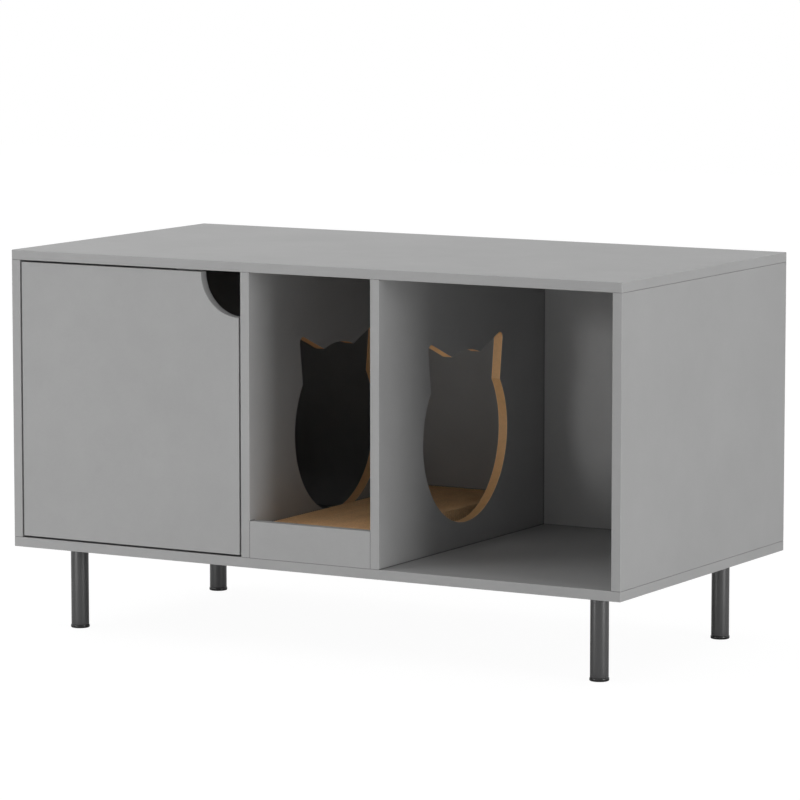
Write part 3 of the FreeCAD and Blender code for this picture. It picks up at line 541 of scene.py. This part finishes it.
def kraft(name, colour, sheet):
    """Kraft paper: fibres, and each sheet a little lighter or darker than the next."""
    shader = Shader(name, Roughness=0.9, Specular_IOR_Level=0.2)
    across = shader.add("ShaderNodeSeparateXYZ", {0: shader.place}).outputs[0]
    number = shader.math("FLOOR", shader.math("DIVIDE", across, sheet))
    tone = shader.add("ShaderNodeTexWhiteNoise", {"W": number},
                      noise_dimensions="1D").outputs["Value"]
    fibres = shader.noise(380.0, detail=3.0, roughness=0.7)
    shader.colour(shader.tinted(colour, shader.about(1.0, tone, 0.05),
                                shader.about(1.0, fibres, 0.7),
                                shader.about(1.0, shader.noise(30.0, detail=3.0), 0.15)))
    shader.bump(shader.noise(1400.0, detail=3.0, roughness=0.7), 0.05 * MM, 0.6)
    return shader.material


def beech(name):
    """Beech wood of the dowels, with a fine grain."""
    shader = Shader(name, Roughness=0.6)
    grain = shader.noise(500.0, detail=4.0, roughness=0.6)
    shader.colour(shader.tinted((0.62, 0.42, 0.24), shader.about(1.0, grain, 0.4)))
    shader.bump(shader.noise(900.0, detail=3.0), 0.03 * MM, 0.5)
    return shader.material


def dress(node, material):
    """Puts a material in every slot of a CAD node."""
    mesh = frame["nodes"][node].data
    mesh.materials.clear()
    mesh.materials.append(material)


def paint(piece, material):
    """Gives a new piece its material."""
    piece.data.materials.append(material)


# ------------------------------------------------------------------ operators
class FinishBoards(bpy.types.Operator):
    """Give every board its grey laminate, with bare fibreboard where it is cut open"""
    bl_idname = "cabinet.finish_boards"
    bl_label = "Finish Boards"

    def execute(self, context):
        finish = context.scene.cabinet_finish
        for number, name in enumerate(BOARDS):
            # The back panel takes the lighter back colour, painted light for its brighter
            # wall.
            colour = finish.back if name == "back_panel" else finish.laminate
            dress(name, laminate(name, colour, finish, number))
        return {"FINISHED"}


class MakeScratchPad(bpy.types.Operator):
    """Make the scratch pad: fluted paper glued to liners, side by side on edge"""
    bl_idname = "cabinet.make_scratch_pad"
    bl_label = "Make Scratch Pad"

    def execute(self, context):
        size = context.scene.cabinet_pad
        (x0, y0, z0), (x1, y1, z1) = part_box("scratch_pad")
        pitch = (x1 - x0 + size.liner) / size.sheets
        swing = (pitch - size.liner - size.paper) / 2
        waves = round((y1 - y0) / size.flute_pitch)
        along = np.linspace(y0, y1, waves * POINTS_A_WAVE + 1)
        ends = np.array([y0, y1])
        rng = np.random.default_rng(PAD_SEED)
        pad = Surface()
        # The line of a flute: x = middle + swing sin(2 pi y / flute pitch + phase).
        for sheet in range(size.sheets):
            middle = x0 + (pitch - size.liner) / 2 + sheet * pitch
            phase = rng.uniform(0, 2 * math.pi)
            wave = middle + swing * np.sin(2 * math.pi * along / size.flute_pitch + phase)
            self.strip(pad, wave, along, size.paper, z0, z1 - rng.uniform(0, FLUTE_DROP))
        for liner in range(1, size.sheets):
            edge = np.full(2, x0 - size.liner / 2 + liner * pitch)
            self.strip(pad, edge, ends, size.liner, z0, z1 - rng.uniform(0, LINER_DROP))
        self.strip(pad, np.full(2, (x0 + x1) / 2), ends + CORE_INSET * np.array([1, -1]),
                   x1 - x0 - 2 * pitch, z0, z1 - size.open_depth)
        piece = pad.finish("corrugated_scratch_pad", "scratch_pad", "cardboard",
                           ["scratch_pad"], smooth=30.0)
        paint(piece, kraft("kraft_paper", context.scene.cabinet_finish.cardboard, pitch))
        return {"FINISHED"}

    def strip(self, pad, x, y, thickness, low, high):
        """A standing strip of paper: a rectangle carried along its line in x and y."""
        side = np.array([-0.5, 0.5, 0.5, -0.5]) * thickness
        level = np.array([low, low, high, high])
        grid = np.empty((len(y), 4, 3))
        grid[..., 0] = x[:, None] + side
        grid[..., 1] = y[:, None]
        grid[..., 2] = level
        pad.loft(grid)


class MakeFasteners(bpy.types.Operator):
    """Make the screws, cam bolts, cam locks, dowels, leg studs and leg inserts"""
    bl_idname = "cabinet.make_fasteners"
    bl_label = "Make Fasteners"

    def execute(self, context):
        zinc = metal("screw_zinc", ZINC, rough=0.3)
        nickel = metal("screw_nickel", NICKEL, rough=0.24)
        cast = metal("lock_zinc", CAST_ZINC, rough=0.5, grain=300.0)
        nylon = plastic("grey_plastic", (0.2, 0.2, 0.2), rough=0.45)
        down, up = (0, 0, -1), (0, 0, 1)
        for node, (body, head, shape) in SCREWS.items():
            steel = nickel if node.startswith("hinge") else zinc
            self.collect(node, body, head, getattr(self, shape), steel,
                         node.replace("screw", "cross_screw"))
        for node, axis, shape, material, name in (
                ("cam_bolts", None, self.cam_bolt, zinc, "threaded_cam_bolts"),
                ("cam_locks", None, self.cam_lock, cast, "cross_cam_locks"),
                ("wooden_dowels", None, self.dowel, beech("beech_wood"), "fluted_dowels"),
                ("leg_studs", down, self.stud, zinc, "threaded_leg_studs"),
                ("leg_inserts", up, self.insert, nylon, "ribbed_leg_inserts")):
            self.collect(node, "carcass", axis, shape, material, name)
        return {"FINISHED"}

    def collect(self, node, body, axis, shape, material, name):
        """One piece for all the solids of a node, each drawn by a shape method. The method
        is told the way that the piece faces, or finds it where axis is None."""
        surface = Surface()
        for centre, low, high in solids_of(node):
            shape(surface, centre, low, high, axis)
        piece = surface.finish(name, body, SLOTS[node], [node], smooth=30.0)
        paint(piece, material)

    def countersunk(self, surface, centre, low, high, head):
        """Wood screw: a flat head with a cross recess, a cone below it, thread and point."""
        tip, point, plain = mm(0.15, 3, 3)
        top, length = end_of(centre, low, high, head)
        threads, climb = threaded(*WOOD_THREAD, point - length, -plain)
        rings, heights = recessed_rings(FLAT_HEAD, *FLAT_RECESS)
        surface.layers([circle(tip), *threads, *rings], [-length, *climb, *heights], top, head)

    def pan_head(self, surface, centre, low, high, head):
        """Machine screw: a domed head with a cross recess on a threaded shank."""
        top, length = end_of(centre, low, high, head)
        threads, climb = threaded(*MACHINE_THREAD, -length, -PAN_HEAD[0, 1])
        rings, heights = recessed_rings(PAN_HEAD, *PAN_RECESS)
        surface.layers([*threads, *rings], [*climb, *heights], top, head)

    def cam_bolt(self, surface, centre, low, high, axis):
        """Cam bolt: coarse thread in the panel, collar, smooth shank, neck and head."""
        screwed = 10 * MM
        axis = (0, 0, 1) if centre[2] < BAY_MIDDLE else (0, 0, -1)
        top, length = end_of(centre, low, high, axis)
        threads, climb = threaded(*CAM_BOLT_THREAD, -length, screwed - length)
        collar = CAM_BOLT_COLLAR + (0, length - screwed)
        rings, heights = turned_rings(np.concatenate([collar, CAM_BOLT_HEAD]))
        surface.layers([*threads, *rings], [*climb, *heights], top, axis)

    def cam_lock(self, surface, centre, low, high, axis):
        """Cam lock: a disc with a raised rim and a deep cross for the screwdriver."""
        board = min(CAM_FACES, key=lambda name: abs(sum(end.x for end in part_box(name)) / 2
                                                    - centre[0]))
        axis = (CAM_FACES[board], 0, 0)
        face, length = end_of(centre, low, high, axis)
        back = CAM_LOCK_BACK + (0, length)
        rings, heights = recessed_rings(np.concatenate([back, CAM_LOCK_FACE]),
                                        *CAM_LOCK_RECESS)
        surface.layers(rings, heights, face, axis)

    def dowel(self, surface, centre, low, high, axis):
        """Beech dowel: radius = middle + flute cos 16 t all along it, and bevelled ends."""
        middle, flute, tip, bevel = mm(3.75, 0.15, 3.1, 0.9)
        axis = np.eye(3)[(high - low).argmax()]
        end, length = end_of(centre, low, high, axis)
        shank = fluted(middle + flute * np.cos(16 * ring_of(FINE_ROUND)))
        point = circle(tip, FINE_ROUND)
        surface.layers([point, shank, shank, point],
                       [-length, bevel - length, -bevel, 0], end, axis)

    def stud(self, surface, centre, low, high, axis):
        """Leg stud: a riveted top and a metric thread with a bevelled end."""
        rivet, plain, tip, bevel = mm(3.8, 3, 2.9, 1)
        end, length = end_of(centre, low, high, axis)
        threads, climb = threaded(*STUD_THREAD, plain - length, -bevel)
        surface.layers([circle(rivet), circle(rivet), *threads, circle(tip)],
                       [-length, plain - length, *climb, 0], end, axis)

    def insert(self, surface, centre, low, high, axis):
        """Leg insert: a plug with a blind bore for the stud, and ribs along it: radius =
        middle + rib cos 12 t."""
        top, length = end_of(centre, low, high, axis)
        radius = (high[0] - low[0]) / 2
        nose, groove, rib, rim = mm(1.2, 0.4, 0.35, 0.8)
        mouth, bore, lead_in, bevel, base = mm(4.6, 4.0, 0.6, 1, 3)
        ribs = fluted(radius - groove + rib * np.cos(12 * ring_of(FINE_ROUND)))
        inner = [circle(r, FINE_ROUND) for r in (radius - rim, mouth, bore, bore)]
        surface.layers([circle(radius - nose, FINE_ROUND), ribs, ribs, *inner],
                       [-length, bevel - length, -bevel, 0, 0, -lead_in, base - length],
                       top, axis)


class MakeLegs(bpy.types.Operator):
    """Make the four round leg tubes and their glossy foot glides"""
    bl_idname = "cabinet.make_legs"
    bl_label = "Make Legs"

    def execute(self, context):
        coat = painted("leg_powder_coat", context.scene.cabinet_finish.leg_paint)
        gloss = plastic("glide_plastic", (0.012, 0.012, 0.012), rough=0.16)
        for leg in LEGS:
            low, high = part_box(leg + "_leg_tube")
            foot = ((low.x + high.x) / 2, (low.y + high.y) / 2, 0)
            radius = (high.x - low.x) / 2
            self.tube(leg, foot, radius, low.z, high.z, coat)
            self.glide(leg, foot, radius - TUBE_WALL - FIT, low.z, gloss)
            dress(leg + "_leg_plate", coat)
        return {"FINISHED"}

    def tube(self, leg, foot, radius, bottom, top, coat):
        """Leg tube: its wall's rectangle, with eased corners, turned about the leg. The
        outline starts and ends on the plain outer face, a gap apart."""
        ease, seam, gap = mm(0.4, 6, 1)
        bore = radius - TUBE_WALL
        wall = [(radius, bottom + seam), (radius, bottom), (bore, bottom), (bore, top),
                (radius, top), (radius, bottom + seam + gap)]
        tube = Surface()
        tube.turned(rounded(wall, ease), foot, (0, 0, 1), loop=True)
        paint(tube.finish(leg + "_tube", "carcass", "leg_paint", [leg + "_leg_tube"]), coat)

    def glide(self, leg, foot, plug, shoulder, gloss):
        """Foot glide: a rounded flange below the tube and a plug inside it, turned about
        the leg."""
        middle, ease = mm(0.4, 1.7)
        low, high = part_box(leg + "_foot_glide")
        flange = (high.x - low.x) / 2
        outline = [(middle, low.z), (flange, low.z), (flange, shoulder), (plug, shoulder),
                   (plug, high.z), (middle, high.z)]
        glide = Surface()
        glide.turned(rounded(outline, ease, steps=6), foot, (0, 0, 1))
        paint(glide.finish(leg + "_glide", "carcass", "black_plastic",
                           [leg + "_foot_glide"]), gloss)


class FinishHardware(bpy.types.Operator):
    """Give the fittings that keep their own shape their metals and plastics"""
    bl_idname = "cabinet.finish_hardware"
    bl_label = "Finish Hardware"

    def execute(self, context):
        finishes = {
            metal("zinc_plate", ZINC, rough=0.34): (
                "strike_plate", "catch_pole_plates", "hinge_pins"),
            metal("cast_zinc", CAST_ZINC, rough=0.5, grain=300.0): (
                "upper_hinge_plate", "lower_hinge_plate"),
            metal("nickel_plate", NICKEL, rough=0.22): (
                "upper_hinge_cup", "lower_hinge_cup", "upper_hinge_arm", "lower_hinge_arm"),
            plastic("white_plastic", (0.75, 0.75, 0.73), rough=0.4): ("catch_housing",),
            plastic("ferrite_magnet", (0.03, 0.03, 0.03), rough=0.6): ("catch_magnet",),
        }
        for material, nodes in finishes.items():
            for node in nodes:
                dress(node, material)
        return {"FINISHED"}


class MakeStage(bpy.types.Operator):
    """Make the pale floor, the soft light and the camera"""
    bl_idname = "cabinet.make_stage"
    bl_label = "Make Stage"

    def execute(self, context):
        scene, stage = context.scene, context.scene.cabinet_stage
        lens = bpy.data.cameras.new("camera")
        lens.lens, lens.sensor_width = stage.lens, 36.0
        lens.clip_end = 50.0
        camera = bpy.data.objects.new("camera", lens)
        camera.location = stage.camera
        camera.rotation_euler = (math.pi / 2 - stage.pitch, 0, stage.yaw)
        scene.collection.objects.link(camera)
        scene.camera = camera
        scene.view_settings.view_transform = "Standard"
        self.world(scene, stage)
        self.floor(scene)
        for name, (place, power, size) in LAMPS.items():
            self.lamp(scene, name, place, power * stage.lamps, size)
        return {"FINISHED"}

    def world(self, scene, stage):
        """A dome brighter overhead than near the horizon, and plain white where the camera,
        a reflection or a clear surface sees it."""
        dark_below, full_above = 0.2, 0.9     # heights on a dome of radius 1
        world = bpy.data.worlds.new("studio")
        world.use_nodes = True
        scene.world = world
        nodes, links = world.node_tree.nodes, world.node_tree.links
        path, light = nodes.new("ShaderNodeLightPath"), nodes["Background"]
        light.inputs["Color"].default_value = (1, 1, 1, 1)
        seen = path.outputs["Is Camera Ray"]
        for ray in ("Is Glossy Ray", "Is Transmission Ray"):
            either = nodes.new("ShaderNodeMath")
            either.operation = "MAXIMUM"
            links.new(seen, either.inputs[0])
            links.new(path.outputs[ray], either.inputs[1])
            seen = either.outputs[0]
        axes = nodes.new("ShaderNodeSeparateXYZ")
        links.new(nodes.new("ShaderNodeTexCoord").outputs["Generated"], axes.inputs[0])
        dome = nodes.new("ShaderNodeMapRange")
        dome.interpolation_type = "SMOOTHSTEP"
        links.new(axes.outputs["Z"], dome.inputs["Value"])
        for socket, value in (("From Min", dark_below), ("From Max", full_above),
                              ("To Min", stage.horizon), ("To Max", stage.sky)):
            dome.inputs[socket].default_value = value
        strength = nodes.new("ShaderNodeMix")
        strength.inputs["B"].default_value = 1.0
        links.new(dome.outputs["Result"], strength.inputs["A"])
        links.new(seen, strength.inputs["Factor"])
        links.new(strength.outputs["Result"], light.inputs["Strength"])

    def floor(self, scene):
        """A wide pale floor: the camera sees it nearly white, with the soft shadow on it."""
        half, glow_strength, glow_share = 9.0, 1.06, 0.9
        corners = [(-half, -half, 0), (half, -half, 0), (half, half, 0), (-half, half, 0)]
        mesh = bpy.data.meshes.new("floor")
        mesh.from_pydata(corners, [], [(0, 1, 2, 3)])
        floor = bpy.data.objects.new("floor", mesh)
        scene.collection.objects.link(floor)
        shader = Shader("pale_floor", Roughness=0.8, Specular_IOR_Level=0.1,
                        Base_Color=(0.85, 0.85, 0.85, 1))
        camera_ray = shader.add("ShaderNodeLightPath").outputs["Is Camera Ray"]
        glow = shader.add("ShaderNodeEmission", {"Strength": glow_strength}).outputs[0]
        mix = shader.add("ShaderNodeMixShader", {
            0: shader.math("MULTIPLY", camera_ray, glow_share),
            1: shader.surface.outputs[0], 2: glow}).outputs[0]
        shader.tree.links.new(mix, shader.tree.nodes["Material Output"].inputs["Surface"])
        paint(floor, shader.material)

    def lamp(self, scene, name, place, power, size):
        """A square area lamp that faces the cabinet's middle."""
        light = bpy.data.lights.new(name, "AREA")
        light.energy, light.size = power, size
        lamp = bpy.data.objects.new(name, light)
        lamp.location = place
        away = lamp.location.copy()
        away.z -= AIM_HEIGHT
        lamp.rotation_euler = away.to_track_quat("Z", "Y").to_euler()
        scene.collection.objects.link(lamp)


# ------------------------------------------------------------------ panel and start
STEPS = (FinishBoards, MakeScratchPad, MakeFasteners, MakeLegs, FinishHardware, MakeStage)
GROUPS = {"cabinet_finish": CabinetFinish, "cabinet_pad": ScratchPadSize,
          "cabinet_stage": CabinetStage}


class CabinetPanel(bpy.types.Panel):
    """Sizes, colours and steps of the cabinet's looks"""
    bl_idname = "VIEW3D_PT_cabinet"
    bl_label = "Litter Cabinet"
    bl_space_type = "VIEW_3D"
    bl_region_type = "UI"
    bl_category = "Cabinet"

    def draw(self, context):
        for group in GROUPS:
            settings = getattr(context.scene, group)
            box = self.layout.box()
            for name in settings.bl_rna.properties.keys():
                if name not in ("rna_type", "name"):
                    box.prop(settings, name)
        for step in STEPS:
            self.layout.operator(step.bl_idname)


def register():
    for kind in (*GROUPS.values(), *STEPS, CabinetPanel):
        bpy.utils.register_class(kind)
    for name, group in GROUPS.items():
        setattr(bpy.types.Scene, name, PointerProperty(type=group))


def unregister():
    for name in GROUPS:
        delattr(bpy.types.Scene, name)
    for kind in reversed((*GROUPS.values(), *STEPS, CabinetPanel)):
        bpy.utils.unregister_class(kind)


def main():
    register()
    for step in STEPS:
        getattr(bpy.ops.cabinet, step.bl_idname.split(".")[1])()


if __name__ == "__main__":
    main()
